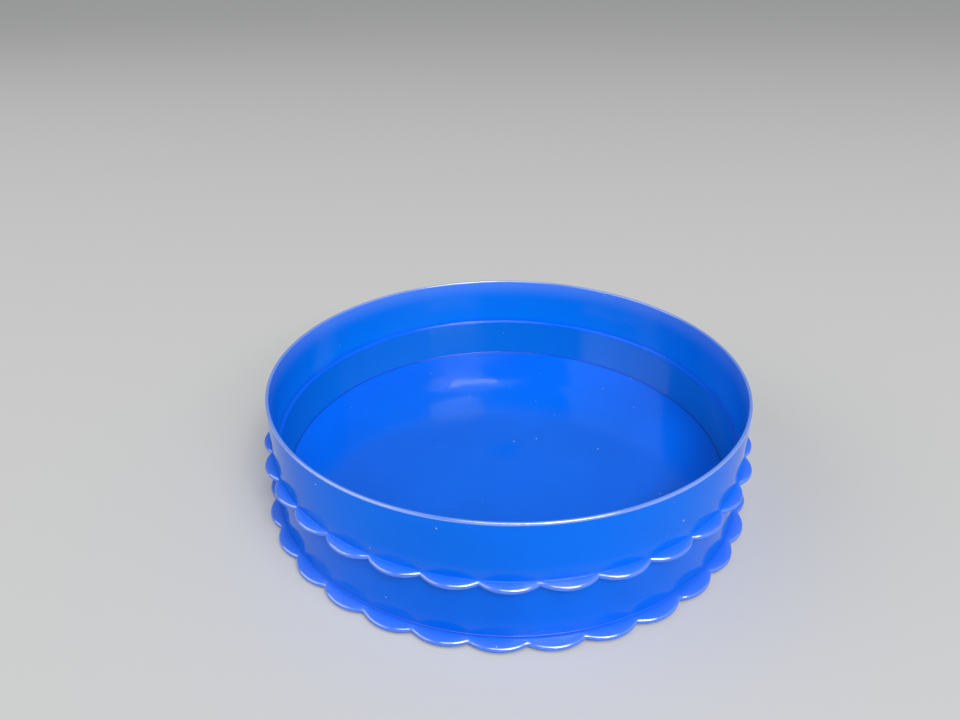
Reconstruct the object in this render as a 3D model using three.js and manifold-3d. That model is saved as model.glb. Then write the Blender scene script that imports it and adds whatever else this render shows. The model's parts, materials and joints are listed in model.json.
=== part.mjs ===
// A small hand-turned pottery wheel: a scalloped pan that turns on a low scalloped base.
// Millimetres, +Z up. The origin is on the table, on the axis that the pan turns about.
import * as THREE from "three";
import { mergeVertices } from "three/addons/utils/BufferGeometryUtils.js";
import Module from "manifold-3d";

const wasm = await Module();
wasm.setup();

// ---- Driving dimensions: the pan ----
const RIM_RADIUS = 125; // outside of the pan's upper wall
const RIM_HEIGHT = 30; // rim above the top of the grip flange
const RIM_WALL = 1.7; // upper wall at the rim
const RIM_WALL_FOOT = 2.4; // upper wall at the ledge, where the draft has thickened it
const RIM_ROUND = 0.7; // rounding of the rim's edges
const LEDGE_RISE = 0.4; // inner ledge above the top of the grip flange
const PLUG_WALL = 1.65; // lower wall of the pan at the ledge
const PLUG_DRAFT = 0.65; // how far the lower wall leans in down to the floor
const PAN_FLOOR = 1.8;
const PAN_CORNER = 2; // outside rounding at the bottom of the lower wall

// ---- Driving dimensions: the scalloped flanges ----
const SCALLOPS = 32;
const FLANGE = 2.3; // thickness of both flanges
const GRIP_VALLEY_OUT = 1; // valleys of the grip flange outside the pan's wall
const GRIP_TIP_OUT = 5; // its scallop tips outside the pan's wall
const FOOT_VALLEY_OUT = 2.6; // the same two for the foot flange
const FOOT_TIP_OUT = 6.1;
const GRIP_FIRST_VALLEY = THREE.MathUtils.degToRad(4.35); // angle of a valley of the grip flange
const FOOT_FIRST_VALLEY = THREE.MathUtils.degToRad(2.35); // angle of a valley of the foot flange

// ---- Driving dimensions: the base ----
const DRUM_INSET = 0.25; // drum's outside inside the pan's wall line
const DRUM_WALL = 1.75;
const DRUM_HEIGHT = 29;
const BASE_FLOOR = 1.8;
const LOCATING_RIB = 1.3; // wall of the ring that centres the drum on the foot plate
const LOCATING_RIB_HEIGHT = 5.7;
const STIFFENERS = 12;
const STIFFENER_WALL = 1.2;
const STIFFENER_HEIGHT = 2;

// ---- Driving dimensions: the rubber feet ----
const FEET = 6;
const FOOT_RADIUS = 7.9;
const FOOT_PROUD = 1.5; // how far a foot stands below the foot plate
const FOOT_DEPTH = 1.5; // how far it goes up into its pocket
const FOOT_INSET = 20; // centre of a foot inside the pan's wall line
const FOOT_BOSS_WALL = 1.8;

// ---- Driving dimensions: the ball race and the turntable ----
const BALLS = 12;
const BALL_RADIUS = 1.75;
const BALL_CIRCLE = 46;
const BALL_CLEARANCE = 0.15; // groove radius beyond the ball's
const RACE_WIDTH = 10;
const RACE_THICKNESS = 1.6;
const RACE_GAP = 1.8; // between the faces of the two races
const RACE_SEAT = 1; // width and height of the ribs beside a race
const CAGE_WIDTH = 8;
const CAGE_THICKNESS = 1;
const CAGE_CLEARANCE = 0.2; // cage hole radius beyond the ball's
const DRIVE_RADIUS = 70;
const DRIVE_THICKNESS = 1.9;
const LUGS = 3;
const LUG_RADIUS = 4;
const LUG_CIRCLE = 60;
const LUG_CLEARANCE = 0.4;

// ---- Driving dimensions: the spindle ----
const SPINDLE_RADIUS = 4;
const SPINDLE_HEAD_RADIUS = 8;
const SPINDLE_HEAD = 1.3;
const BOSS_RADIUS = 12; // boss of the foot plate round the spindle
const BOSS_ROOF = 1.5; // its thickness over the spindle's head
const GROOVE_DEPTH = 1;
const CLIP_THICKNESS = 0.8;
const CLIP_WIDTH = 3.8;
const CLIP_MOUTH = THREE.MathUtils.degToRad(70); // opening of the clip
const SPINDLE_TIP = 0.6; // spindle above the clip's groove
const BUSH_WALL = 2;
const BUSH_FLANGE_OUT = 2; // bush flange beyond the bush's outside
const BUSH_FLANGE = 0.8;
const BUSH_LENGTH = 3.3;
const HUB_WALL = 3.9; // hub of the drive plate round the bush
const WASHER_THICKNESS = 0.5;

// ---- Clearances ----
const SEAT = 0.3; // between faces that touch when assembled
const RUN = 0.6; // between the pan and the drum that it turns in
const PRESS = 0.05; // radial, between a pressed-in piece and its hole
const BUSH_PLAY = 0.08; // radial, between the spindle and its bush
const SLIP = 0.2; // between the small parts that turn on each other

// ---- Facets ----
const ROUND = 64; // steps round the pan and the base
const RACE_ROUND = 40; // steps round the races, the cage and the drive plate
const SMALL_ROUND = 24; // steps round the spindle and what is on it
const PEG_ROUND = 16; // steps round feet, lugs and holes
const BALL_ROUND = 8;
const SCALLOP_STEPS = 5;
const ARC_STEPS = 3;

// ---- Radii that follow from these ----
const drumOuter = RIM_RADIUS - DRUM_INSET;
const drumInner = drumOuter - DRUM_WALL;
const plugOuter = drumInner - RUN;
const ribOuter = drumInner - SEAT;
const ribInner = ribOuter - LOCATING_RIB;
const footCircle = RIM_RADIUS - FOOT_INSET;
const footPocket = FOOT_RADIUS + SEAT;
const footBoss = footPocket + FOOT_BOSS_WALL;
const raceInner = BALL_CIRCLE - RACE_WIDTH / 2;
const raceOuter = BALL_CIRCLE + RACE_WIDTH / 2;
const grooveRadius = BALL_RADIUS + BALL_CLEARANCE;
const bushBore = SPINDLE_RADIUS + BUSH_PLAY;
const bushOuter = bushBore + BUSH_WALL;
const hubBore = bushOuter + PRESS;
const hubOuter = hubBore + HUB_WALL;
const clipInner = SPINDLE_RADIUS - GROOVE_DEPTH + SLIP;
const clipOuter = clipInner + CLIP_WIDTH;
const washerInner = bushBore + SLIP;
const washerOuter = clipOuter + SLIP;
const counterbore = washerOuter + SEAT;

// ---- Heights that follow, from the table up ----
const plateUnder = FOOT_PROUD;
const plateTop = plateUnder + FLANGE;
const floorTop = plateUnder + BASE_FLOOR;
const drumBottom = plateTop + SEAT;
const drumTop = drumBottom + DRUM_HEIGHT;
const gripUnder = drumTop + RUN;
const gripTop = gripUnder + FLANGE;
const ledge = gripTop + LEDGE_RISE;
const rimTop = gripTop + RIM_HEIGHT;
const lowerRaceBottom = floorTop + SEAT;
const lowerRaceTop = lowerRaceBottom + RACE_THICKNESS;
const ballHeight = lowerRaceTop + RACE_GAP / 2;
const upperRaceBottom = lowerRaceTop + RACE_GAP;
const upperRaceTop = upperRaceBottom + RACE_THICKNESS;
const driveUnder = upperRaceTop + SEAT;
const driveTop = driveUnder + DRIVE_THICKNESS;
const panUnder = driveTop + SEAT;
const panFloorTop = panUnder + PAN_FLOOR;
const headBottom = plateUnder + SLIP / 2;
const headTop = headBottom + SPINDLE_HEAD;
const bossRoofUnder = headTop + SEAT;
const bossTop = bossRoofUnder + BOSS_ROOF;
const bushBottom = bossTop + SLIP;
const bushFlangeTop = bushBottom + BUSH_FLANGE;
const bushTop = bushBottom + BUSH_LENGTH;
const hubBottom = bushFlangeTop + SEAT;
const counterboreFloor = bushTop + SLIP / 2;
const washerBottom = counterboreFloor + SLIP;
const washerTop = washerBottom + WASHER_THICKNESS;
const clipBottom = washerTop + SLIP;
const clipTop = clipBottom + CLIP_THICKNESS;
const grooveBottom = clipBottom - SLIP / 2;
const grooveTop = clipTop + SLIP / 2;
const spindleTop = grooveTop + SPINDLE_TIP;

// ---- Materials ----
const finish = (color, roughness, metalness) =>
  new THREE.MeshStandardMaterial({ color, roughness, metalness });
const bluePlastic = () => finish(0x0a5fe8, 0.22, 0);
const whiteNylon = () => finish(0xe9e6dc, 0.5, 0);
const greyPlastic = () => finish(0x3b4049, 0.55, 0);
const brightSteel = () => finish(0xc9ccd0, 0.22, 1);
const pressedSteel = () => finish(0xa9adb2, 0.4, 1);
const blackRubber = () => finish(0x202124, 0.9, 0);

// ---- Solids ----
// A closed three.js geometry as a solid that can be joined and cut.
function solidOf(geometry) {
  const bare = geometry.clone();
  bare.deleteAttribute("normal");
  bare.deleteAttribute("uv");
  const welded = mergeVertices(bare, 1e-4);
  return new wasm.Manifold(
    new wasm.Mesh({
      numProp: 3,
      vertProperties: new Float32Array(welded.attributes.position.array),
      triVerts: new Uint32Array(welded.index.array),
    }),
  );
}

const join = (first, ...others) => others.reduce((sum, other) => sum.add(other), first);
const cut = (first, ...others) => others.reduce((left, other) => left.subtract(other), first);

// A piece turned about +Z. Its profile is a list of [radius, height], anticlockwise,
// and it starts and ends on the axis or is closed here.
function turned(profile, steps = ROUND) {
  const points = profile.map(([radius, height]) => new THREE.Vector2(radius, height));
  if (profile[0][0] > 0) points.push(points[0].clone());
  return solidOf(new THREE.LatheGeometry(points, steps).rotateX(Math.PI / 2));
}

// Points of an arc in a profile, from one angle to another in degrees, both ends included.
function arc(centreRadius, centreHeight, radius, from, to, steps = ARC_STEPS) {
  return Array.from({ length: steps + 1 }, (_, i) => {
    const angle = THREE.MathUtils.degToRad(from + ((to - from) * i) / steps);
    return [centreRadius + radius * Math.cos(angle), centreHeight + radius * Math.sin(angle)];
  });
}

// An upright disc or peg round its own axis.
function peg(radius, bottom, top, steps = PEG_ROUND) {
  return turned([[0, bottom], [radius, bottom], [radius, top], [0, top]], steps);
}

// A solid moved out along +X and then turned about +Z.
function placedRound(solid, distance, angle) {
  return solid.translate([distance, 0, 0]).rotate([0, 0, THREE.MathUtils.radToDeg(angle)]);
}

const spaced = (count, make, first = 0) =>
  Array.from({ length: count }, (_, i) => make(first + (i * 2 * Math.PI) / count));

// The outline of a scalloped flange. Each scallop is an arc that bulges out between two
// valleys, and neighbouring arcs meet in a cusp on the valley circle.
function scallopedOutline(valleyRadius, tipRadius, firstValley) {
  const halfPitch = Math.PI / SCALLOPS;
  const halfChord = valleyRadius * Math.sin(halfPitch);
  const rise = tipRadius - valleyRadius * Math.cos(halfPitch);
  const radius = (halfChord ** 2 + rise ** 2) / (2 * rise);
  const centre = tipRadius - radius;
  const halfSweep = Math.atan2(halfChord, radius - rise);
  const shape = new THREE.Shape();
  for (let step = 0; step < SCALLOPS * SCALLOP_STEPS; step += 1) {
    const scallop = Math.floor(step / SCALLOP_STEPS);
    const along = (step % SCALLOP_STEPS) / SCALLOP_STEPS;
    const sweep = halfSweep * (2 * along - 1);
    const point = new THREE.Vector2(centre + radius * Math.cos(sweep), radius * Math.sin(sweep));
    point.rotateAround(new THREE.Vector2(), firstValley + (2 * scallop + 1) * halfPitch);
    if (step === 0) shape.moveTo(point.x, point.y);
    else shape.lineTo(point.x, point.y);
  }
  shape.closePath();
  return shape;
}

// A scalloped flange with a round hole, to be joined to the wall that it stands out from.
function flange(valleyOut, tipOut, firstValley, holeRadius, bottom) {
  const shape = scallopedOutline(RIM_RADIUS + valleyOut, RIM_RADIUS + tipOut, firstValley);
  const plate = new THREE.ExtrudeGeometry(shape, { depth: FLANGE, bevelEnabled: false });
  const hole = peg(holeRadius, bottom - FLANGE, bottom + 2 * FLANGE, ROUND);
  return cut(solidOf(plate).translate([0, 0, bottom]), hole);
}

// ---- The pan ----
function wheelPan() {
  const rimInner = RIM_RADIUS - RIM_WALL;
  const plugInner = plugOuter - PLUG_WALL;
  const floorEdge = plugInner - PLUG_DRAFT;
  const corner = arc(plugOuter - PAN_CORNER, panUnder + PAN_CORNER, PAN_CORNER, -90, 0);
  const roundOuter = arc(RIM_RADIUS - RIM_ROUND, rimTop - RIM_ROUND, RIM_ROUND, 0, 90);
  const roundInner = arc(rimInner + RIM_ROUND, rimTop - RIM_ROUND, RIM_ROUND, 90, 180);
  const shell = turned([
    [0, panUnder],
    ...corner,
    [plugOuter, gripUnder],
    [RIM_RADIUS, gripUnder],
    ...roundOuter,
    ...roundInner,
    [RIM_RADIUS - RIM_WALL_FOOT, ledge],
    [plugInner, ledge],
    [floorEdge, panFloorTop],
    [0, panFloorTop],
  ]);
  const wallMiddle = RIM_RADIUS - DRUM_WALL / 2;
  const grip = flange(GRIP_VALLEY_OUT, GRIP_TIP_OUT, GRIP_FIRST_VALLEY, wallMiddle, gripUnder);
  const lugBottom = panUnder - DRIVE_THICKNESS;
  const lugs = spaced(LUGS, (angle) =>
    placedRound(peg(LUG_RADIUS, lugBottom, panUnder + PAN_FLOOR / 2), LUG_CIRCLE, angle),
  );
  return join(shell, grip, ...lugs);
}

// ---- The base ----
function drumRing() {
  return turned([
    [drumInner + SEAT, drumBottom],
    [drumOuter - SEAT, drumBottom],
    [drumOuter, drumBottom + SEAT],
    [drumOuter, drumTop - SEAT],
    [drumOuter - SEAT, drumTop],
    [drumInner + SEAT, drumTop],
    [drumInner, drumTop - SEAT],
    [drumInner, drumBottom + SEAT],
  ]);
}

// The two ribs that keep a race central, as profile points from the outer rib to the inner
// one. They stand up from a face when rise is positive and hang from it when it is negative.
function raceSeat(face, rise) {
  return [
    [raceOuter + SEAT + RACE_SEAT, face],
    [raceOuter + SEAT + RACE_SEAT, face + rise],
    [raceOuter + SEAT, face + rise],
    [raceOuter + SEAT, face],
    [raceInner - SEAT, face],
    [raceInner - SEAT, face + rise],
    [raceInner - SEAT - RACE_SEAT, face + rise],
    [raceInner - SEAT - RACE_SEAT, face],
  ];
}

function footPlate() {
  const flangeHole = RIM_RADIUS - DRUM_WALL / 2;
  const spindleBore = SPINDLE_RADIUS + PRESS;
  const recess = SPINDLE_HEAD_RADIUS + SEAT;
  const floor = turned([
    [recess, plateUnder],
    [drumOuter, plateUnder],
    [drumOuter, plateTop],
    [ribOuter, plateTop],
    [ribOuter, floorTop + LOCATING_RIB_HEIGHT],
    [ribInner, floorTop + LOCATING_RIB_HEIGHT],
    [ribInner, floorTop],
    ...raceSeat(floorTop, RACE_SEAT),
    [BOSS_RADIUS, floorTop],
    [BOSS_RADIUS, bossTop],
    [spindleBore, bossTop],
    [spindleBore, bossRoofUnder],
    [recess, bossRoofUnder],
  ]);
  const foot = flange(FOOT_VALLEY_OUT, FOOT_TIP_OUT, FOOT_FIRST_VALLEY, flangeHole, plateUnder);
  const stiffenerStart = raceOuter + SEAT + RACE_SEAT / 2;
  const stiffenerLength = ribInner + LOCATING_RIB / 2 - stiffenerStart;
  const stiffener = solidOf(
    new THREE.BoxGeometry(stiffenerLength, STIFFENER_WALL, STIFFENER_HEIGHT + BASE_FLOOR / 2),
  ).translate([0, 0, floorTop + STIFFENER_HEIGHT / 2 - BASE_FLOOR / 4]);
  const stiffeners = spaced(STIFFENERS, (angle) =>
    placedRound(stiffener, stiffenerStart + stiffenerLength / 2, angle),
  );
  const pocketTop = plateUnder + FOOT_DEPTH + SEAT;
  const bosses = spaced(FEET, (angle) =>
    placedRound(peg(footBoss, plateUnder, pocketTop + FOOT_BOSS_WALL), footCircle, angle),
  );
  const pockets = spaced(FEET, (angle) =>
    placedRound(peg(footPocket, plateUnder - FLANGE, pocketTop), footCircle, angle),
  );
  return cut(join(floor, foot, ...stiffeners, ...bosses), ...pockets);
}

function rubberFoot() {
  return turned([
    [0, 0],
    [FOOT_RADIUS - SEAT, 0],
    [FOOT_RADIUS, SEAT],
    [FOOT_RADIUS, plateUnder + FOOT_DEPTH],
    [0, plateUnder + FOOT_DEPTH],
  ], PEG_ROUND);
}

// ---- The ball race ----
// A race is a flat ring with a rounded groove in the face towards the balls.
const grooveHalfAngle = THREE.MathUtils.radToDeg(Math.asin(RACE_GAP / 2 / grooveRadius));

function lowerRace() {
  const groove = arc(BALL_CIRCLE, ballHeight, grooveRadius, -grooveHalfAngle, grooveHalfAngle - 180);
  return turned([
    [raceInner, lowerRaceBottom],
    [raceOuter, lowerRaceBottom],
    [raceOuter, lowerRaceTop],
    ...groove,
    [raceInner, lowerRaceTop],
  ], RACE_ROUND);
}

function upperRace() {
  const groove = arc(BALL_CIRCLE, ballHeight, grooveRadius, 180 - grooveHalfAngle, grooveHalfAngle);
  return turned([
    [raceInner, upperRaceBottom],
    ...groove,
    [raceOuter, upperRaceBottom],
    [raceOuter, upperRaceTop],
    [raceInner, upperRaceTop],
  ], RACE_ROUND);
}

function ballCage() {
  const bottom = ballHeight - CAGE_THICKNESS / 2;
  const top = ballHeight + CAGE_THICKNESS / 2;
  const ring = turned([
    [BALL_CIRCLE - CAGE_WIDTH / 2, bottom],
    [BALL_CIRCLE + CAGE_WIDTH / 2, bottom],
    [BALL_CIRCLE + CAGE_WIDTH / 2, top],
    [BALL_CIRCLE - CAGE_WIDTH / 2, top],
  ], RACE_ROUND);
  const hole = peg(BALL_RADIUS + CAGE_CLEARANCE, bottom - 1, top + 1);
  return cut(ring, ...spaced(BALLS, (angle) => placedRound(hole, BALL_CIRCLE, angle)));
}

// ---- The turntable and its spindle ----
function drivePlate() {
  const plate = turned([
    [hubBore, hubBottom],
    [hubOuter, hubBottom],
    [hubOuter, driveUnder],
    ...raceSeat(driveUnder, -RACE_SEAT).reverse(),
    [DRIVE_RADIUS, driveUnder],
    [DRIVE_RADIUS, driveTop],
    [counterbore, driveTop],
    [counterbore, counterboreFloor],
    [hubBore, counterboreFloor],
  ], RACE_ROUND);
  const hole = peg(LUG_RADIUS + LUG_CLEARANCE, driveUnder - 1, driveTop + 1);
  return cut(plate, ...spaced(LUGS, (angle) => placedRound(hole, LUG_CIRCLE, angle)));
}

function bush() {
  return turned([
    [bushBore, bushBottom],
    [bushOuter + BUSH_FLANGE_OUT, bushBottom],
    [bushOuter + BUSH_FLANGE_OUT, bushFlangeTop],
    [bushOuter, bushFlangeTop],
    [bushOuter, bushTop],
    [bushBore, bushTop],
  ], SMALL_ROUND);
}

function spindle() {
  const groove = SPINDLE_RADIUS - GROOVE_DEPTH;
  return turned([
    [0, headBottom],
    [SPINDLE_HEAD_RADIUS - SEAT, headBottom],
    [SPINDLE_HEAD_RADIUS, headBottom + SEAT],
    [SPINDLE_HEAD_RADIUS, headTop],
    [SPINDLE_RADIUS, headTop],
    [SPINDLE_RADIUS, grooveBottom],
    [groove, grooveBottom],
    [groove, grooveTop],
    [SPINDLE_RADIUS, grooveTop],
    [SPINDLE_RADIUS, spindleTop - SEAT],
    [SPINDLE_RADIUS - SEAT, spindleTop],
    [0, spindleTop],
  ], SMALL_ROUND);
}

function thrustWasher() {
  return turned([
    [washerInner, washerBottom],
    [washerOuter, washerBottom],
    [washerOuter, washerTop],
    [washerInner, washerTop],
  ], SMALL_ROUND);
}

// A flat open ring that snaps sideways into the groove of the spindle.
function retainingClip() {
  const from = CLIP_MOUTH / 2;
  const shape = new THREE.Shape();
  shape.absarc(0, 0, clipOuter, from, -from, false);
  shape.absarc(0, 0, clipInner, -from, from, true);
  shape.closePath();
  const plate = new THREE.ExtrudeGeometry(shape, {
    depth: CLIP_THICKNESS,
    bevelEnabled: false,
    curveSegments: SMALL_ROUND / 2,
  });
  return solidOf(plate).translate([0, 0, clipBottom]);
}

// ---- Assembly ----
// A named mesh of a solid, with the facets' own normals.
function piece(name, solid, material) {
  const mesh = solid.getMesh();
  const geometry = new THREE.BufferGeometry();
  geometry.setAttribute("position", new THREE.BufferAttribute(mesh.vertProperties, 3));
  geometry.setIndex(new THREE.BufferAttribute(mesh.triVerts, 1));
  const faceted = geometry.toNonIndexed();
  faceted.computeVertexNormals();
  const result = new THREE.Mesh(faceted, material);
  result.name = name;
  return result;
}

// Copies of one turned piece on a circle, each its own mesh.
function pieceCircle(name, count, radius, make) {
  const circle = new THREE.Group();
  spaced(count, (angle) => angle).forEach((angle, index) => {
    const copy = make(`${name}_${index + 1}`);
    copy.position.x = radius * Math.cos(angle);
    copy.position.y = radius * Math.sin(angle);
    circle.add(copy);
  });
  return circle;
}

function ball(name) {
  const sphere = new THREE.SphereGeometry(BALL_RADIUS, BALL_ROUND, BALL_ROUND - 2).rotateX(Math.PI / 2);
  const result = new THREE.Mesh(sphere, brightSteel());
  result.name = name;
  result.position.z = ballHeight;
  return result;
}

const base = new THREE.Group();
base.add(piece("foot_plate", footPlate(), bluePlastic()));
base.add(piece("drum_ring", drumRing(), bluePlastic()));
base.add(piece("spindle", spindle(), brightSteel()));
base.add(piece("retaining_clip", retainingClip(), pressedSteel()));
base.add(piece("thrust_washer", thrustWasher(), whiteNylon()));
base.add(piece("lower_race", lowerRace(), pressedSteel()));
const footSolid = rubberFoot();
base.add(pieceCircle("rubber_foot", FEET, footCircle, (name) => piece(name, footSolid, blackRubber())));

const bearing = new THREE.Group();
bearing.add(piece("ball_cage", ballCage(), whiteNylon()));
bearing.add(pieceCircle("ball", BALLS, BALL_CIRCLE, ball));

const turntable = new THREE.Group();
turntable.add(piece("drive_plate", drivePlate(), greyPlastic()));
turntable.add(piece("bush", bush(), whiteNylon()));
turntable.add(piece("upper_race", upperRace(), pressedSteel()));

const pan = new THREE.Group();
pan.add(piece("wheel_pan", wheelPan(), bluePlastic()));

const group = new THREE.Group();
group.add(base, bearing, turntable, pan);
export default group;
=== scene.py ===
"""A small hand-turned pottery wheel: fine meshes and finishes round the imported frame."""
import json
from math import acos, atan2, cos, degrees, hypot, pi, radians, sin, sqrt

import bmesh
import bpy
from bpy.props import FloatProperty, FloatVectorProperty, IntProperty, PointerProperty
from mathutils import Matrix, Vector


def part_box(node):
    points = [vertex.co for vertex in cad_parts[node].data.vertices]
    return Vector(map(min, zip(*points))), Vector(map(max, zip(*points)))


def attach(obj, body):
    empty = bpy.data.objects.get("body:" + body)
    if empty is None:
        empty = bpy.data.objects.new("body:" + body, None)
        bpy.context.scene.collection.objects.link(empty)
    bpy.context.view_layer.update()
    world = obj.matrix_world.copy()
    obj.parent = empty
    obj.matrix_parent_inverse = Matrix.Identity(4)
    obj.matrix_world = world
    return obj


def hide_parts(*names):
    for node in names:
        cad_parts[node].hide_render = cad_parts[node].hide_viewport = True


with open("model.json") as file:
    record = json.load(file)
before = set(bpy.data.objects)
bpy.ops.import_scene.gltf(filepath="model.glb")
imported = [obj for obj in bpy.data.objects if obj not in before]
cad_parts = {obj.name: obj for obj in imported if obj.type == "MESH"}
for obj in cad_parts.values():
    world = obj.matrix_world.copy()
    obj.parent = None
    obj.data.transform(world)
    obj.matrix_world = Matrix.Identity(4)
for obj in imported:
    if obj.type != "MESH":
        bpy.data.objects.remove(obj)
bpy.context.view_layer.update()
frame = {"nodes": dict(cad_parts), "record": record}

bl_info = {
    "name": "Hand-Turned Pottery Wheel",
    "version": (1, 0, 0),
    "blender": (4, 5, 0),
    "location": "View3D > Sidebar > Pottery Wheel",
    "description": "Builds the visible pieces of a hand-turned pottery wheel and its studio",
    "category": "Add Mesh",
}

MM = 0.001
SHARP_ANGLE = radians(35)
SMALL_ROUND = 0.3 * MM
NEAR_EDGE = 0.4 * MM
WIDE_STEPS = 240
NARROW_STEPS = 96
SENSOR_WIDTH = 36

# Places and sizes that the frame gives, in metres.
PAN_LOW, PAN_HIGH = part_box("wheel_pan")
DRUM_LOW, DRUM_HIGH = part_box("drum_ring")
PLATE_LOW, PLATE_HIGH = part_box("foot_plate")
DRIVE_LOW, DRIVE_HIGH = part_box("drive_plate")
BUSH_LOW, BUSH_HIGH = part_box("bush")
LOWER_RACE_LOW, LOWER_RACE_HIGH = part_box("lower_race")
UPPER_RACE_LOW, UPPER_RACE_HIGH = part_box("upper_race")
CAGE_LOW, CAGE_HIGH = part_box("ball_cage")
SPINDLE_LOW, SPINDLE_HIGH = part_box("spindle")
WASHER_LOW, WASHER_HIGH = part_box("thrust_washer")
CLIP_LOW, CLIP_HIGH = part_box("retaining_clip")
BALLS = sorted(name for name in frame["nodes"] if name.startswith("ball_") and name != "ball_cage")
FEET = sorted(name for name in frame["nodes"] if name.startswith("rubber_foot_"))
WORK_SURFACE = next(m for m in frame["record"]["mounts"] if m["name"] == "work_surface")


def length(name, description, default):
    """A size in metres that a user may change, given here in millimetres."""
    return FloatProperty(name=name, description=description, default=default * MM, unit="LENGTH")


def color(name, description, default):
    """A linear colour that a user may change."""
    return FloatVectorProperty(
        name=name, description=description, default=default, size=3, subtype="COLOR", min=0, max=1)


def factor(name, description, default):
    """A number from 0 to 1 that a user may change."""
    return FloatProperty(
        name=name, description=description, default=default, min=0, max=1, subtype="FACTOR")


def angle(name, description, default):
    """An angle that a user may change, given here in degrees."""
    return FloatProperty(
        name=name, description=description, default=radians(default), unit="ROTATION")


def count(name, description, default, least):
    """A number of things that a user may change."""
    return IntProperty(name=name, description=description, default=default, min=least)


class PanSettings(bpy.types.PropertyGroup):
    """Sizes of the pan that its box doesn't give."""

    rim_height: length("Rim Height", "Rim above the top of the grip flange", 30)
    rim_wall: length("Rim Wall", "Upper wall at the rim", 1.7)
    rim_wall_foot: length("Wall at Ledge", "Upper wall just above the ledge", 2.4)
    rim_round: length("Rim Rounding", "Radius of the rim's edges", 0.82)
    ledge_rise: length("Ledge Rise", "Inner ledge above the top of the grip flange", 0.4)
    ledge_round: length("Ledge Rounding", "Radius of the ledge's inner edge", 0.5)
    plug_wall: length("Lower Wall", "Lower wall at the ledge", 1.65)
    plug_draft: length("Lower Wall Draft", "Lean of the lower wall down to the floor", 0.65)
    floor_corner: length("Floor Corner", "Radius where the lower wall meets the floor", 0.8)
    under_corner: length("Under Corner", "Outside radius at the bottom of the lower wall", 2)
    floor_thickness: length("Floor", "Thickness of the pan's floor", 1.8)
    lug_radius: length("Lug Radius", "Radius of the three drive lugs", 4)
    lug_circle: length("Lug Circle", "Radius of the circle that the lugs stand on", 60)
    running_gap: length("Running Gap", "Gap between the lower wall and the drum", 0.6)


class FlangeSettings(bpy.types.PropertyGroup):
    """Shape of the two scalloped flanges."""

    scallops: count("Scallops", "Scallops round each flange", 32, 8)
    steps: count("Steps", "Mesh steps along one scallop", 12, 4)
    thickness: length("Thickness", "Thickness of both flanges", 2.3)
    grip_valley: length("Grip Valley", "Valleys of the grip flange outside the wall", 1)
    grip_tip: length("Grip Tip", "Tips of the grip flange outside the wall", 5)
    foot_valley: length("Foot Valley", "Valleys of the foot flange outside the wall", 2.6)
    foot_tip: length("Foot Tip", "Tips of the foot flange outside the wall", 6.1)
    top_round: length("Top Rounding", "Radius of the upper edge of a scallop", 1.15)
    under_round: length("Under Rounding", "Radius of the lower edge of a scallop", 0.8)
    fillet: length("Fillet", "Largest fillet between a flange and its wall", 0.5)
    grip_angle: angle("Grip Angle", "Angle of a valley of the grip flange", 4.35)
    foot_angle: angle("Foot Angle", "Angle of a valley of the foot flange", 2.35)


class BaseSettings(bpy.types.PropertyGroup):
    """Sizes of the drum, the foot plate and the rubber feet."""

    drum_inset: length("Drum Inset", "Drum's outside inside the pan's wall line", 0.25)
    drum_wall: length("Drum Wall", "Thickness of the drum's wall", 1.75)
    drum_round: length("Drum Rounding", "Radius of the drum's edges", 0.6)
    floor_thickness: length("Floor", "Thickness of the foot plate's floor", 1.8)
    rib_gap: length("Rib Gap", "Gap between the drum and the rib that centres it", 0.3)
    rib_wall: length("Rib Wall", "Thickness of the rib that centres the drum", 1.3)
    seat: length("Race Seat", "Width and height of the ribs beside a race", 1)
    seat_gap: length("Seat Gap", "Gap between a race and its ribs", 0.3)
    boss_radius: length("Boss Radius", "Boss round the spindle", 12)
    stiffeners: count("Stiffeners", "Radial ribs on the floor", 12, 3)
    stiffener_wall: length("Stiffener Wall", "Thickness of a radial rib", 1.2)
    stiffener_height: length("Stiffener Height", "Height of a radial rib", 2)
    foot_boss_wall: length("Foot Boss Wall", "Wall and roof of the boss over a rubber foot", 1.8)
    foot_gap: length("Foot Gap", "Gap between a rubber foot and its pocket", 0.3)
    foot_round: length("Foot Rounding", "Radius of a rubber foot's lower edge", 0.6)


class BearingSettings(bpy.types.PropertyGroup):
    """Sizes of the ball race, the turntable and the spindle."""

    ball_clearance: length("Ball Clearance", "Radius of a groove beyond the ball's", 0.15)
    cage_clearance: length("Cage Clearance", "Radius of a cage hole beyond the ball's", 0.2)
    edge: length("Edge Rounding", "Broken edges of the small pieces", 0.15)
    race_width: length("Race Width", "Width of both races", 10)
    press_fit: length("Press Fit", "Radial gap drawn between pressed pieces", 0.05)
    hub_wall: length("Hub Wall", "Hub of the drive plate round the bush", 3.9)
    drive_thickness: length("Drive Plate", "Thickness of the drive plate's web", 1.9)
    lug_clearance: length("Lug Clearance", "Radius of a lug hole beyond the lug's", 0.4)
    spindle_radius: length("Spindle Radius", "Radius of the spindle's shank", 4)
    spindle_head: length("Spindle Head", "Thickness of the spindle's head", 1.3)
    groove_depth: length("Groove Depth", "Depth of the clip's groove", 1)
    bush_play: length("Bush Play", "Radial play between spindle and bush", 0.08)
    bush_wall: length("Bush Wall", "Wall of the bush", 2)
    bush_flange: length("Bush Flange", "Thickness of the bush's flange", 0.8)
    clip_mouth: angle("Clip Mouth", "Opening of the retaining clip", 70)


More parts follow.
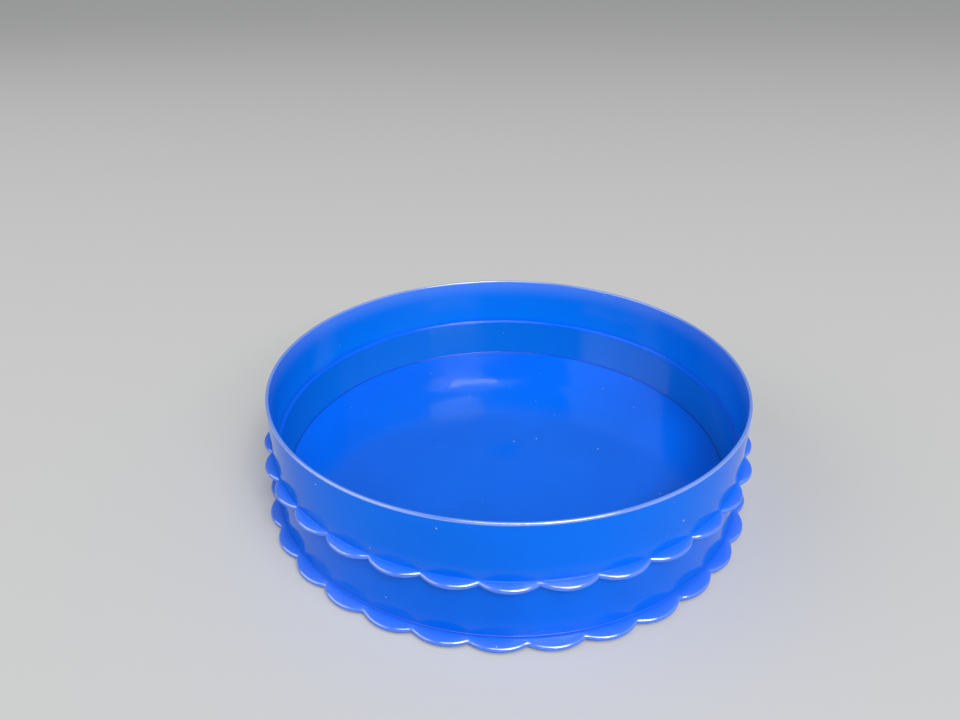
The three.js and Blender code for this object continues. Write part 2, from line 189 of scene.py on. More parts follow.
class FinishSettings(bpy.types.PropertyGroup):
    """Colours and gloss, with the painted light and painted shade of the blue pieces."""

    pan_blue: color("Pan Blue", "Colour of the pan's floor and flange", (0.0, 0.14, 0.81))
    base_blue: color("Base Blue", "Colour of the drum and the foot plate", (0.0, 0.135, 0.79))
    # Painted light: the pan's upper wall is coloured lighter, as if light came through it.
    lit_blue: color("Lit Blue", "Upper wall, where light comes through", (0.0, 0.215, 0.78))
    # Painted shade: the pan's lower wall, which stands in the drum, is coloured darker.
    painted_shade_blue: color("Painted Shade Blue", "Lower wall, which stands in the drum", (0.0, 0.185, 0.6))
    # Painted light: the lavender of the painted highlight and glow on thin edges and below the rim.
    painted_light_blue: color("Painted Light Blue", "Thin edges that gather light", (0.27, 0.42, 0.96))
    wall_gloss: factor("Wall Roughness", "Roughness of the smooth walls", 0.07)
    floor_gloss: factor("Floor Roughness", "Roughness of the pan's used floor", 0.16)
    turntable_grey: color("Turntable Grey", "Colour of the drive plate", (0.045, 0.052, 0.066))
    nylon: color("Nylon", "Colour of the bush, washer and cage", (0.8, 0.78, 0.7))
    steel: color("Steel", "Colour of the balls and the spindle", (0.62, 0.63, 0.65))
    race_steel: color("Race Steel", "Colour of the pressed races and the clip", (0.42, 0.43, 0.45))
    rubber: color("Rubber", "Colour of the feet", (0.018, 0.018, 0.02))


class StageSettings(bpy.types.PropertyGroup):
    """Camera, floor and lights."""

    lens: FloatProperty(name="Lens", description="Focal length in millimetres", default=27, min=10)
    pitch: angle("Pitch", "How far the camera looks down", 28.01)
    roll: angle("Roll", "Turn of the camera about its own axis", -0.31)
    distance: length("Distance", "Camera to the middle of the rim, along its view", 384.8)
    aside: length("Aside", "Camera to the left of the wheel's axis", 14.1)
    above: length("Above", "Middle of the rim below the camera's aim", 3.9)
    floor_color: color("Floor", "Colour of the studio floor", (0.56, 0.56, 0.55))
    sky_color: color("Sky", "Colour of the light from all round", (0.9, 0.95, 1.0))
    backdrop: FloatProperty(name="Backdrop", description="Brightness of the space behind", default=0.5)
    sky_strength: FloatProperty(name="Sky Strength", description="Light from all round", default=0.14)


# ---- Meshes ----

def arc(centre_r, centre_z, radius, start, end, steps=5):
    """Points (r, z) of an arc in a profile, from one angle to another in degrees."""
    angles = [radians(start + (end - start) * i / steps) for i in range(steps + 1)]
    return [(centre_r + radius * cos(a), centre_z + radius * sin(a)) for a in angles]


def rounded(profile, radius, steps=3):
    """A closed profile with every corner broken by a small rounding."""
    points = []
    for i, corner in enumerate(profile):
        here = Vector(corner)
        before = Vector(profile[i - 1]) - here
        after = Vector(profile[(i + 1) % len(profile)]) - here
        cut = min(radius, before.length * 0.4, after.length * 0.4)
        start, end = here + before.normalized() * cut, here + after.normalized() * cut
        for step in range(steps + 1):
            t = step / steps
            points.append(tuple(start * (1 - t) ** 2 + here * 2 * t * (1 - t) + end * t ** 2))
    return points


EDGE_LIGHT = "edge_light"
POLISH = "polish"


def loft(name, rows, low_pole=None, high_pole=None, close=False, looks=None):
    """A mesh object through rings of points. It ends in poles, or its last ring joins its first.

    looks gives each ring its painted edge light (below zero, painted shade) and its polish, which the blue
    finish reads."""
    bm = bmesh.new()
    layers = [bm.verts.layers.float.new(key) for key in (EDGE_LIGHT, POLISH)]
    rings = [[bm.verts.new(point) for point in row] for row in rows]
    around = len(rows[0])
    for ring, values in zip(rings, looks or []):
        for vert in ring:
            for layer, value in zip(layers, values):
                vert[layer] = value
    pairs = list(zip(rings, rings[1:])) + ([(rings[-1], rings[0])] if close else [])
    for lower, upper in pairs:
        for i in range(around):
            j = (i + 1) % around
            bm.faces.new((lower[i], lower[j], upper[j], upper[i]))
    for pole, ring in ((low_pole, rings[0]), (high_pole, rings[-1])):
        if pole is None:
            continue
        tip = bm.verts.new(pole)
        for i in range(around):
            bm.faces.new((tip, ring[i], ring[(i + 1) % around]))
    return finished(name, bm)


def finished(name, bm):
    """A smooth-shaded object from a bmesh, its faces turned outwards."""
    bmesh.ops.recalc_face_normals(bm, faces=bm.faces)
    mesh = bpy.data.meshes.new(name)
    bm.to_mesh(mesh)
    bm.free()
    mesh.polygons.foreach_set("use_smooth", [True] * len(mesh.polygons))
    mesh.set_sharp_from_angle(angle=SHARP_ANGLE)
    made = bpy.data.objects.new(name, mesh)
    bpy.context.scene.collection.objects.link(made)
    return made


def even_turn(steps):
    """Angles evenly spaced round a circle."""
    return [2 * pi * i / steps for i in range(steps)]


def circle(radius, height, angles):
    """A ring of points at those angles."""
    return [Vector((radius * cos(a), radius * sin(a), height)) for a in angles]


def turned(name, profile, steps):
    """A turned piece from a profile of (r, z) points, closed or with both ends on the axis."""
    angles = even_turn(steps)
    on_axis = profile[0][0] < 1e-9
    inner = profile[1:-1] if on_axis else profile
    rows = [circle(r, z, angles) for r, z in inner]
    if not on_axis:
        return loft(name, rows, close=True)
    return loft(name, rows, Vector((0, 0, profile[0][1])), Vector((0, 0, profile[-1][1])))


def join(piece, tools, operation="UNION"):
    """Joins the tools to the piece or cuts them from it; the tools are used up."""
    for tool in tools:
        change = piece.modifiers.new("join", "BOOLEAN")
        change.operation = operation
        change.object = tool
        change.solver = "EXACT"
    graph = bpy.context.evaluated_depsgraph_get()
    result = bpy.data.meshes.new_from_object(piece.evaluated_get(graph))
    piece.modifiers.clear()
    name = piece.name
    old = piece.data
    piece.data = result
    bpy.data.meshes.remove(old)
    result.name = name
    result.polygons.foreach_set("use_smooth", [True] * len(result.polygons))
    result.set_sharp_from_angle(angle=SHARP_ANGLE)
    for tool in tools:
        bpy.data.objects.remove(tool)


def made_plain(piece, chosen):
    """Takes painted edge light and polish off the chosen points, which joining had blurred."""
    for key in (EDGE_LIGHT, POLISH):
        values = piece.data.attributes[key].data
        for vert in piece.data.vertices:
            if chosen(vert.co):
                values[vert.index].value = 0.0


def flat_ring(name, inner, outer, low, high, edge, steps):
    """A ring with a rectangular section and broken edges."""
    section = [(inner, low), (outer, low), (outer, high), (inner, high)]
    return turned(name, rounded(section, edge), steps)


def peg(x, y, radius, low, high, edge=0.0, steps=48):
    """An upright round peg, with a rounded lower edge if one is given."""
    profile = [(0, low), (radius - edge, low)]
    if edge:
        profile += arc(radius - edge, low + edge, edge, -90, 0, 4)[1:]
    profile += [(radius, high), (0, high)]
    made = turned("peg", profile, steps)
    made.data.transform(Matrix.Translation((x, y, 0)))
    return made


def on_circle(number, radius):
    """Points (x, y, angle) evenly spaced on a circle."""
    return [(radius * cos(a), radius * sin(a), a) for a in even_turn(number)]


class Scallops:
    """The outline of a flange: arcs that bulge out between valleys and meet in cusps."""

    def __init__(self, shape, wall, valley_out, tip_out, first_valley):
        self.least = wall + 0.25 * MM
        self.half = pi / shape.scallops
        self.first = first_valley
        self.count = shape.scallops
        self.steps = shape.steps
        valley, tip = wall + valley_out, wall + tip_out
        chord = valley * sin(self.half)
        rise = tip - valley * cos(self.half)
        self.radius = (chord ** 2 + rise ** 2) / (2 * rise)
        self.centre = tip - self.radius
        self.angles = [atan2(p.y, p.x) for p in self.ring(0, 0)]

    def ring(self, inset, height):
        """The outline moved in by inset, each scallop cut off where it meets its neighbour."""
        radius = self.radius - inset
        reach = self.centre * cos(self.half) + sqrt(radius ** 2 - (self.centre * sin(self.half)) ** 2)
        sweep = atan2(reach * sin(self.half), reach * cos(self.half) - self.centre)
        points = []
        for scallop in range(self.count):
            turn = self.first + (2 * scallop + 1) * self.half
            for step in range(self.steps):
                a = sweep * (2 * step / self.steps - 1)
                x, y = self.centre + radius * cos(a), radius * sin(a)
                push = max(1, self.least / hypot(x, y))
                x, y = x * push, y * push
                across, along = x * cos(turn) - y * sin(turn), x * sin(turn) + y * cos(turn)
                points.append(Vector((across, along, height)))
        return points

    def edge(self, shape, top, under):
        """Rings over the rounded edge of the flange, from its top face to its underside."""
        upper, lower = shape.top_round, shape.under_round
        rows = [self.ring(upper * (1 - sin(radians(a))), top - upper * (1 - cos(radians(a))))
                for a in range(0, 91, 15)]
        rows += [self.ring(lower * (1 - cos(radians(a))), under + lower * (1 - sin(radians(a))))
                 for a in range(0, 91, 18)]
        return rows

    def fillet(self, wall, top, size, inset):
        """Rings of the fillet from the wall to the flange's top, smaller where the flange is narrow."""
        room = [hypot(p.x, p.y) - wall for p in self.ring(inset, top)]
        sizes = [min(size, space * 0.8) for space in room]
        rows = []
        for a in range(0, 91, 18):
            out, down = 1 - cos(radians(a)), 1 - sin(radians(a))
            rows.append([Vector(((wall + s * out) * cos(t), (wall + s * out) * sin(t), top + s * down))
                         for s, t in zip(sizes, self.angles)])
        return rows


# What a ring of the blue pieces shows: how much painted light its edge gets (a painted highlight and glow;
# below zero, a painted shade line), and how polished it is.
PLAIN = (0.0, 0.0)
# Painted highlight and glow on the rim's rounding and on the drum's foot.
EDGE = (0.75, 1.0)
# A faint painted light on the fillet of a flange.
FLANGE_ROOT = (0.06, 0.08)
LEDGE = (0.0, 0.16)
PAN_FLOOR = (0.0, 0.3)
INSIDE = (0.0, 0.36)
WALL_FOOT = (0.0, 0.12)
# Painted shade: a dark line where the pan's floor meets its wall.
PAINTED_CREASE_SHADE = (-0.6, 0.1)
# Painted light on the scallops' rounded edges.
SCALLOP_LIGHT = 0.3
SCALLOP_POLISH = (0.5, 0.6, 1.0, 1.0, 0.9, 0.4, 0.15, 0.1, 0.1, 0.1, 0.1, 0.1, 0.0)


class Stack:
    """Rings of points with the looks of each, from which a blue piece is lofted."""

    def __init__(self, angles):
        self.angles = angles
        self.rows = []
        self.looks = []

    def rings(self, rows, look):
        """Adds rings."""
        self.rows += rows
        self.looks += [look] * len(rows)

    def scallop_edge(self, rows):
        """Adds the rings over a scallop's edge, with painted light on them, polished most where it curves
        over.
        """
        for row, polish in zip(rows, SCALLOP_POLISH):
            self.rings([row], (SCALLOP_LIGHT, polish))

    def turn(self, profile, look):
        """Adds round rings from a profile of (r, z) points."""
        self.rings([circle(r, z, self.angles) for r, z in profile], look)


# ---- Finishes ----

class Tree:
    """Short calls to build a node tree."""

    def __init__(self, tree):
        self.tree = tree

    def node(self, kind, inputs=None, **values):
        """A node with its properties set and its inputs set or linked."""
        made = self.tree.nodes.new("ShaderNode" + kind)
        for name, value in values.items():
            setattr(made, name, value)
        for name, value in (inputs or {}).items():
            self.feed(made, name, value)
        return made

    def feed(self, node, name, value):
        """Links a socket into an input, or sets the input's value."""
        target = node.inputs[name]
        if isinstance(value, bpy.types.NodeSocket):
            self.tree.links.new(value, target)
        else:
            target.default_value = value

    def math(self, operation, a, b=0.0, clamp=False):
        """A math node's output."""
        return self.node("Math", {0: a, 1: b}, operation=operation, use_clamp=clamp).outputs[0]

    def times(self, a, b):
        """A product."""
        return self.math("MULTIPLY", a, b)

    def plus(self, a, b, clamp=False):
        """A sum, kept between 0 and 1 if clamped."""
        return self.math("ADD", a, b, clamp)

    def mix(self, amount, a, b):
        """A mix of two colours."""
        return self.node("Mix", {0: amount, 6: a, 7: b}, data_type="RGBA").outputs[2]

    def between(self, value, low, high, to_low=0.0, to_high=1.0):
        """A value mapped from one range to another, clamped, with soft ends."""
        inputs = {
            "Value": value, "From Min": low, "From Max": high, "To Min": to_low, "To Max": to_high}
        return self.node("MapRange", inputs, interpolation_type="SMOOTHSTEP").outputs["Result"]

    def noise(self, vector, scale, detail=2.0, roughness=0.5):
        """A noise texture's value."""
        inputs = {"Vector": vector, "Scale": scale, "Detail": detail, "Roughness": roughness}
        return self.node("TexNoise", inputs).outputs[0]

    def place(self):
        """Positions in the piece's own space, in metres."""
        return self.node("TexCoord").outputs["Object"]

    def from_axis(self):
        """The distance from the wheel's axis, and the height."""
        x, y, height = self.node("SeparateXYZ", {0: self.place()}).outputs
        square = self.plus(self.times(x, x), self.times(y, y))
        return self.math("SQRT", square), height

    def zoomed(self, vector, factor):
        """A vector made larger by a number."""
        return self.node("VectorMath", {0: vector, "Scale": factor}, operation="SCALE").outputs[0]

    def scaled(self, vector, scale, turn=(0.0, 0.0, 0.0)):
        """Positions turned and stretched."""
        inputs = {"Vector": vector, "Rotation": turn, "Scale": scale}
        return self.node("Mapping", inputs).outputs[0]


def new_group(name, inputs, outputs):
    """A shader node group with named sockets; returns it with its inner tree and end nodes."""
    group = bpy.data.node_groups.new(name, "ShaderNodeTree")
    for key, default in inputs.items():
        kind = "NodeSocketFloat" if isinstance(default, float) else "NodeSocketColor"
        made = group.interface.new_socket(name=key, in_out="INPUT", socket_type=kind)
        made.default_value = default
    for key in outputs:
        kind = "NodeSocketColor" if key == "Color" else "NodeSocketFloat"
        group.interface.new_socket(name=key, in_out="OUTPUT", socket_type=kind)
    tree = Tree(group)
    entry = group.nodes.new("NodeGroupInput").outputs
    end = group.nodes.new("NodeGroupOutput")
    return group, tree, entry, end


def moulding_tone_group():
    """Slow, faint changes of tone where the plastic flowed into its mould."""
    group, tree, entry, end = new_group(
        "Moulding Tone", {"Color": (1, 1, 1, 1), "Depth": 0.1}, ("Color",))
    place = tree.place()
    cloud = tree.noise(place, 9.0, 3.0)
    swirl = tree.noise(tree.scaled(place, (22.0, 22.0, 60.0)), 1.0, 2.0)
    blend = tree.plus(tree.times(cloud, 0.65), tree.times(swirl, 0.35))
    spread = tree.between(blend, 0.38, 0.62, -1.0, 1.0)
    gain = tree.plus(1.0, tree.times(spread, entry["Depth"]))
    tree.feed(end, "Color", tree.zoomed(entry["Color"], gain))
    return group


def dust_group():
    """Scattered specks: a mask of small round spots in a few of the cells."""
    group, tree, entry, end = new_group(
        "Dust Specks", {"Scale": 90.0, "Size": 0.12, "Share": 0.1}, ("Mask",))
    cells = tree.node("TexVoronoi", {"Vector": tree.place(), "Scale": entry["Scale"]}, feature="F1")
    draw, share, _ = tree.node("SeparateColor", {0: cells.outputs["Color"]}).outputs
    chosen = tree.math("LESS_THAN", draw, entry["Share"])
    size = tree.times(entry["Size"], tree.plus(0.4, share))
    near = tree.between(cells.outputs["Distance"], tree.times(size, 0.5), size, 1.0, 0.0)
    tree.feed(end, "Mask", tree.times(chosen, near))
    return group


def scratches_group():
    """Hairline marks in three directions: a mask of thin, broken streaks."""
    group, tree, entry, end = new_group("Hairline Marks", {"Scale": 1.0, "Share": 0.5}, ("Mask",))
    place = tree.place()
    total = None
    for index, turn in enumerate((0.35, 1.6, 2.7)):
        stretched = tree.scaled(place, (45.0, 1100.0, 60.0), (0.0, 0.0, turn))
        streak = tree.between(tree.noise(tree.zoomed(stretched, entry["Scale"]), 1.0, 1.0), 0.72, 0.8)
        turned_place = tree.scaled(place, (1, 1, 1), (0, 0, turn))
        patch = tree.between(tree.noise(turned_place, 23.0 + index), 0.52, 0.66)
        mark = tree.times(streak, patch)
        total = mark if total is None else tree.math("MAXIMUM", total, mark)
    tree.feed(end, "Mask", tree.times(total, entry["Share"]))
    return group


def edge_light_group():
    """Painted light where a thin edge would gather light, painted shade where a crease would lose it, and
    where the surface is polished.
    """
    group, tree, entry, end = new_group("Edge Light", {"Gain": 1.0}, ("Light", "Shade", "Polish"))
    edge = tree.node("Attribute", attribute_name=EDGE_LIGHT).outputs["Fac"]
    polish = tree.node("Attribute", attribute_name=POLISH).outputs["Fac"]
    uneven = tree.between(tree.noise(tree.place(), 30.0, 3.0), 0.3, 0.7, 0.7, 1.0)
    # Light is painted light on thin edges; Shade is painted shade in creases.
    lit = tree.math("MULTIPLY", tree.times(edge, uneven), entry["Gain"], clamp=True)
    tree.feed(end, "Light", lit)
    tree.feed(end, "Shade", tree.math("MULTIPLY", edge, -1.0, clamp=True))
    tree.feed(end, "Polish", polish)
    return group


def turning_group():
    """Fine rings left by a lathe or a press: a height that changes with the radius."""
    group, tree, entry, end = new_group("Turning Rings", {"Fineness": 2600.0}, ("Height", "Shade"))
    radius, height = tree.from_axis()
    across = tree.node("CombineXYZ", {0: radius, 2: height}).outputs[0]
    rings = tree.noise(across, entry["Fineness"], 3.0, 0.6)
    tree.feed(end, "Height", rings)
    tree.feed(end, "Shade", tree.noise(tree.place(), 160.0, 3.0))
    return group


def grain_group():
    """The fine spark-eroded grain of a matt moulding."""
    group, tree, entry, end = new_group("Moulded Grain", {"Scale": 1500.0}, ("Height",))
    tree.feed(end, "Height", tree.noise(tree.place(), entry["Scale"], 2.0, 0.6))
    return group


GROUPS = {}


def group_named(name):
    """The shared node group of that name, built the first time it is asked for."""
    makers = {
        "tone": moulding_tone_group, "dust": dust_group, "scratches": scratches_group,
        "edge": edge_light_group, "rings": turning_group, "grain": grain_group,
    }
    if name not in GROUPS:
        GROUPS[name] = makers[name]()
    return GROUPS[name]


class Finish(Tree):
    """A material with a Principled shader and the shared effects placed in it."""

    def __init__(self, name):
        self.material = bpy.data.materials.new(name)
        self.material.use_nodes = True
        super().__init__(self.material.node_tree)
        self.shader = self.tree.nodes["Principled BSDF"]

    def effect(self, name, **inputs):
        """The outputs of a shared effect with its inputs set."""
        made = self.tree.nodes.new("ShaderNodeGroup")
        made.node_tree = group_named(name)
        for key, value in inputs.items():
            self.feed(made, key, value)
        return made.outputs

    def set(self, **inputs):
        """Sets or links inputs of the Principled shader, underscores standing for spaces."""
        for key, value in inputs.items():
            self.feed(self.shader, key.replace("_", " "), value)

    def bump(self, height, distance, strength=1.0):
        """Bumps the surface by a height."""
        node = self.node("Bump", {"Height": height, "Distance": distance, "Strength": strength})
        self.feed(self.shader, "Normal", node.outputs[0])
        return self


SCUFF_BLUE = (0.25, 0.45, 1.0)
DUST_BLUE = (0.6, 0.78, 0.98)
DUST_GREY = (0.5, 0.5, 0.48)


def rgba(value):
    """A colour with its alpha."""
    return (*value, 1.0)


def blue_plastic(name, blue, settings, pan=False):
    """Glossy blue polypropylene, scuffed and dusty, with painted light on its thin edges and painted shade
    in its creases.
    """
    finish = Finish(name)
    edge = finish.effect("edge")
    base = finish.effect("tone", Color=rgba(blue), Depth=0.05)["Color"]
    roughness = settings.wall_gloss
    marks = finish.effect("scratches", Scale=1.0, Share=0.5)["Mask"]
    if pan:
        base, near_floor = pan_tones(finish, base, settings)
        duller = finish.times(near_floor, settings.floor_gloss - settings.wall_gloss)
        roughness = finish.plus(settings.wall_gloss, duller)
        marks = finish.times(marks, finish.plus(0.25, near_floor, clamp=True))
    # Painted highlight and glow on the rim, the scallops' edges and the drum's foot.
    base = finish.mix(finish.times(edge["Light"], 0.85), base, rgba(settings.painted_light_blue))
    # Painted shade: a dark line in the crease where the pan's floor meets its wall.
    base = finish.mix(edge["Shade"], base, rgba([c * 0.25 for c in blue]))
    dust = finish.effect("dust", Scale=380.0, Size=0.13, Share=0.022)["Mask"]
    haze = finish.noise(finish.place(), 14.0, 3.0)
    roughness = finish.plus(roughness, finish.times(haze, 0.04))
    roughness = finish.plus(roughness, finish.times(marks, 0.25), clamp=True)
    base = finish.mix(finish.times(marks, 0.12), base, rgba(SCUFF_BLUE))
    base = finish.mix(finish.times(dust, 0.85), base, rgba(DUST_BLUE))
    finish.set(Base_Color=base, Roughness=roughness, IOR=1.49, Specular_IOR_Level=0.13,
               Specular_Tint=rgba((0.7, 0.8, 1.0)),
               Coat_Weight=edge["Polish"], Coat_IOR=2.8, Coat_Roughness=0.12,
               Subsurface_Weight=0.12, Subsurface_Scale=0.002, Subsurface_Radius=(0.3, 0.6, 1.0))
    finish.bump(finish.noise(finish.place(), 45.0, 1.0), 0.02 * MM, 0.4)
    return finish.material


def pan_tones(finish, base, settings):
    """The pan's colours, and a mask of its floor.

    Painted light on the upper wall, where light would come through it, and a painted glow near the rim.
    Painted shade on the lower wall, which stands in the drum."""
    pan = bpy.context.scene.wheel_pan
    floor, rim = WORK_SURFACE["pos_m"][2], PAN_HIGH.z
    ledge = rim - pan.rim_height + pan.ledge_rise
    radius, height = finish.from_axis()
    in_pan = finish.math("LESS_THAN", radius, DRUM_HIGH.x - 0.6 * MM)
    in_drum = finish.math("LESS_THAN", radius, DRUM_HIGH.x - 3.2 * MM)
    above = finish.between(height, ledge - 0.5 * MM, ledge + 4 * MM)
    above = finish.times(above, finish.plus(in_pan, 0.15, clamp=True))
    low_wall = finish.times(finish.between(height, floor + 0.2 * MM, floor + 2 * MM),
                            finish.between(height, ledge - 1.5 * MM, ledge - 0.2 * MM, 1.0, 0.0))
    low_wall = finish.times(low_wall, in_drum)
    # Painted light on the upper wall; painted shade on the lower wall, in the drum.
    base = finish.mix(finish.times(above, 0.8), base, rgba(settings.lit_blue))
    base = finish.mix(finish.times(low_wall, 0.8), base, rgba(settings.painted_shade_blue))
    # Painted glow: the inside of the wall is coloured lighter towards the rim.
    fade = finish.times(finish.between(height, rim - 15 * MM, rim - 1 * MM), in_pan)
    fade = finish.times(finish.math("POWER", fade, 1.8), 0.32)
    base = finish.mix(fade, base, rgba(settings.painted_light_blue))
    return base, finish.between(height, floor, floor + 0.4 * MM, 1.0, 0.0)


def steel(name, tone, roughness, rings):
    """Turned or pressed steel with fine rings and a faint tarnish."""
    finish = Finish(name)
    effect = finish.effect("rings", Fineness=rings)
    shade = finish.between(effect["Shade"], 0.35, 0.7)
    base = finish.mix(finish.times(shade, 0.35), rgba(tone), rgba([c * 0.6 for c in tone]))
    dull = finish.plus(roughness, finish.times(shade, 0.12))
    finish.set(Base_Color=base, Metallic=1.0, Roughness=dull)
    return finish.bump(effect["Height"], 0.01 * MM, 0.5).material


def matt_moulding(name, tone, roughness, grain=1500.0):
    """A matt moulded plastic or rubber with a fine grain and a little dust."""
    finish = Finish(name)
    cloudy = finish.effect("tone", Color=rgba(tone), Depth=0.12)["Color"]
    dust = finish.effect("dust", Scale=160.0, Size=0.1, Share=0.06)["Mask"]
    base = finish.mix(finish.times(dust, 0.35), cloudy, rgba(DUST_GREY))
    height = finish.effect("grain", Scale=grain)["Height"]
    finish.set(Base_Color=base, Roughness=finish.plus(roughness - 0.05, finish.times(height, 0.1)))
    return finish.bump(height, 0.03 * MM, 0.5).material


FINISHES = {}


def finish_named(name):
    """The material of that name, made the first time it is asked for."""
    settings = bpy.context.scene.wheel_finish
    makers = {
        "pan": lambda: blue_plastic("pan_blue", settings.pan_blue, settings, pan=True),
        "base": lambda: blue_plastic("base_blue", settings.base_blue, settings),
        "turntable": lambda: matt_moulding("turntable_grey", settings.turntable_grey, 0.5),
        "nylon": lambda: matt_moulding("natural_nylon", settings.nylon, 0.42, 900.0),
        "steel": lambda: steel("polished_steel", settings.steel, 0.12, 1800.0),
        "race": lambda: steel("pressed_steel", settings.race_steel, 0.28, 2600.0),
        "rubber": lambda: matt_moulding("black_rubber", settings.rubber, 0.85, 1100.0),
    }
    if name not in FINISHES:
        FINISHES[name] = makers[name]()
    return FINISHES[name]


def place_piece(piece, body, slot, finish, *nodes):
    """Gives a piece its finish and its body, and hides the nodes that it stands for; slot is not used."""
    piece.data.materials.clear()
    piece.data.materials.append(finish_named(finish))
    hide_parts(*nodes)
    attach(piece, body)


# ---- Operators ----

class WHEEL_OT_pan(bpy.types.Operator):
    """Builds the pan: rim, walls, grip flange, floor and drive lugs."""

    bl_idname = "pottery_wheel.add_pan"
    bl_label = "Pan"

    def execute(self, context):
        pan, shape = context.scene.wheel_pan, context.scene.wheel_flange
        base = context.scene.wheel_base
        wall = DRUM_HIGH.x + base.drum_inset
        rim_top = PAN_HIGH.z
        top = rim_top - pan.rim_height
        under = top - shape.thickness
        floor = WORK_SURFACE["pos_m"][2]
        bottom = floor - pan.floor_thickness
        ledge = top + pan.ledge_rise
        plug_outer = wall - base.drum_inset - base.drum_wall - pan.running_gap
        plug_inner = plug_outer - pan.plug_wall
        floor_edge = plug_inner - pan.plug_draft
        wall_foot = wall - pan.rim_wall_foot
        corner, soft, bend = pan.floor_corner, pan.ledge_round, pan.under_corner
        outline = Scallops(shape, wall, shape.grip_valley, shape.grip_tip, shape.grip_angle)
        rim = pan.rim_round
        stack = Stack(outline.angles)
        stack.turn([(floor_edge * share, floor) for share in (0.1, 0.35, 0.6, 0.8, 0.92)], PAN_FLOOR)
        stack.turn([(floor_edge - corner * 1.2, floor)], PAN_FLOOR)
        # Painted shade: a dark line in the corner of the floor.
        stack.turn(arc(floor_edge - corner, floor + corner, corner, -90, -36, 3), PAINTED_CREASE_SHADE)
        stack.turn(arc(floor_edge - corner, floor + corner, corner, -18, 0, 1), INSIDE)
        stack.turn([(plug_inner - 0.02 * MM, ledge - soft - 0.6 * MM)], INSIDE)
        stack.turn(arc(plug_inner + soft, ledge - soft, soft, 180, 90), LEDGE)
        stack.turn(arc(wall_foot - SMALL_ROUND, ledge + SMALL_ROUND, SMALL_ROUND, -90, 0, 3), INSIDE)
        stack.turn(self.rim_fade(pan, wall - pan.rim_wall, rim_top), INSIDE)
        # Painted highlight and glow on the rim's rounding.
        stack.turn(arc(wall - pan.rim_wall + rim, rim_top - rim, rim, 180, 90, 6), EDGE)
        stack.turn(arc(wall - rim, rim_top - rim, rim, 90, 0, 6), EDGE)
        stack.turn([(wall, rim_top - rim - NEAR_EDGE), (wall, top + 8 * MM)], PLAIN)
        stack.turn([(wall, top + 1.2 * MM)], WALL_FOOT)
        stack.rings(outline.fillet(wall, top, shape.fillet, shape.top_round), FLANGE_ROOT)
        # Painted light on the scallops' edges.
        stack.scallop_edge(outline.edge(shape, top, under))
        stack.turn(arc(plug_outer + SMALL_ROUND, under - SMALL_ROUND, SMALL_ROUND, 90, 180, 3), PLAIN)
        stack.turn(arc(plug_outer - bend, bottom + bend, bend, 0, -90, 6), PLAIN)
        stack.turn([(floor_edge * share, bottom) for share in (0.75, 0.45, 0.1)], PLAIN)
        made = loft("pan", stack.rows, Vector((0, 0, floor)), Vector((0, 0, bottom)), looks=stack.looks)
        lugs = [peg(x, y, pan.lug_radius, PAN_LOW.z, bottom + pan.floor_thickness / 2, NEAR_EDGE)
                for x, y, _ in on_circle(3, pan.lug_circle)]
        join(made, lugs)
        made_plain(made, lambda co: co.z < bottom + 0.1 * MM)
        place_piece(made, "pan", "pan_plastic", "pan", "wheel_pan")
        return {"FINISHED"}

    def rim_fade(self, pan, inner, rim_top):
        """Rings down the inside of the rim, so that the painted light below the rim can fade smoothly."""
        slope = (pan.rim_wall_foot - pan.rim_wall) / pan.rim_height
        return [(inner - slope * drop * MM, rim_top - drop * MM) for drop in (16, 8, 4, 2, 1.2)]


class WHEEL_OT_drum(bpy.types.Operator):
    """Builds the drum's wall."""

    bl_idname = "pottery_wheel.add_drum"
    bl_label = "Drum"

    def execute(self, context):
        base = context.scene.wheel_base
        outer, inner = DRUM_HIGH.x, DRUM_HIGH.x - base.drum_wall
        low, high, soft = DRUM_LOW.z, DRUM_HIGH.z, base.drum_round
        stack = Stack(even_turn(384))
        stack.turn(arc(inner + soft, low + soft, soft, 180, 270), PLAIN)
        # Painted highlight along the drum's foot.
        stack.turn(arc(outer - soft, low + soft, soft, 270, 360), EDGE)
        stack.turn([(outer, low + soft + NEAR_EDGE)], WALL_FOOT)
        stack.turn([(outer, low + 9 * MM), (outer, high - soft - NEAR_EDGE)], PLAIN)
        stack.turn(arc(outer - soft, high - soft, soft, 0, 90), PLAIN)
        stack.turn(arc(inner + soft, high - soft, soft, 90, 180), PLAIN)
        made = loft("drum_wall", stack.rows, close=True, looks=stack.looks)
        place_piece(made, "base", "base_plastic", "base", "drum_ring")
        return {"FINISHED"}


def foot_place(foot):
    """Where a rubber foot is: its middle, its radius and its lowest and highest heights."""
    low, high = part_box(foot)
    return (low.x + high.x) / 2, (low.y + high.y) / 2, (high.x - low.x) / 2, low.z, high.z


def seat_ribs(base, inner, outer, face, rise):
    """The two ribs beside a race as profile points, from the outer rib to the inner one."""
    gap, width = base.seat_gap, base.seat
    points = []
    for near, far in ((outer + gap, outer + gap + width), (inner - gap - width, inner - gap)):
        points += [(far, face), (far, face + rise), (near, face + rise), (near, face)]
    return points


